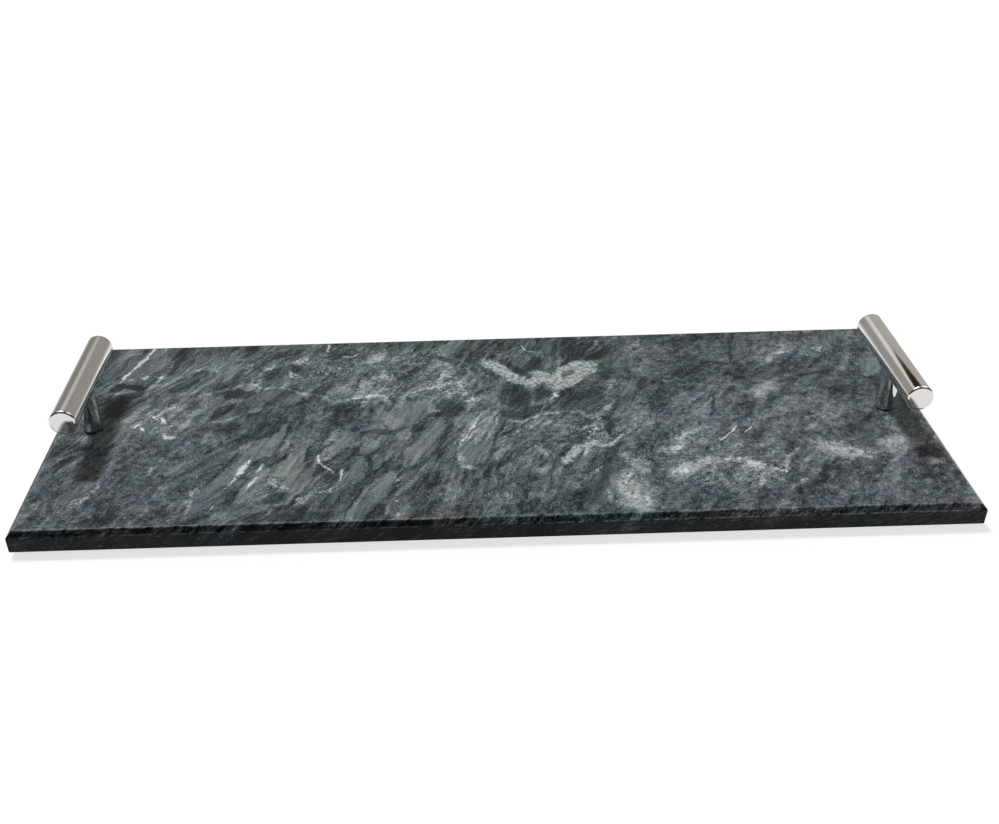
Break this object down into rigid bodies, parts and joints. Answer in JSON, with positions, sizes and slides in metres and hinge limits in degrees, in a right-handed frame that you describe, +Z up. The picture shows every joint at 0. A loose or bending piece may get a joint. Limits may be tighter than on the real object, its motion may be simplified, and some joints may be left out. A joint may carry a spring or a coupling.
{
  "type": "serving tray",
  "caption": "Flat rectangular polished stone serving tray with a chamfered top edge, a round metal T-bar handle on a post at each short end, and soft feet below.",
  "frame": {"origin": "middle of the tray in plan, at the undersides of the feet", "axes": "+X along the slab's long side towards the right handle, +Y away from the front edge, +Z up"},
  "size_m": [0.457, 0.178, 0.0483],
  "materials": {
    "marble": "polished dark grey marble with pale veins",
    "chrome": "polished plating",
    "steel": "zinc plated",
    "rubber": "matt black"
  },
  "bodies": {
    "root": {"marble_slab": "marble", "left_handle_bar": "chrome", "left_handle_post": "chrome", "left_joining_stud": "steel", "left_post_gasket": "rubber", "left_screw_washer": "steel", "left_fixing_screw": "steel", "right_handle_bar": "chrome", "right_handle_post": "chrome", "right_joining_stud": "steel", "right_post_gasket": "rubber", "right_screw_washer": "steel", "right_fixing_screw": "steel", "front_left_foot": "rubber", "rear_left_foot": "rubber", "front_right_foot": "rubber", "rear_right_foot": "rubber"}
  },
  "joints": []
}
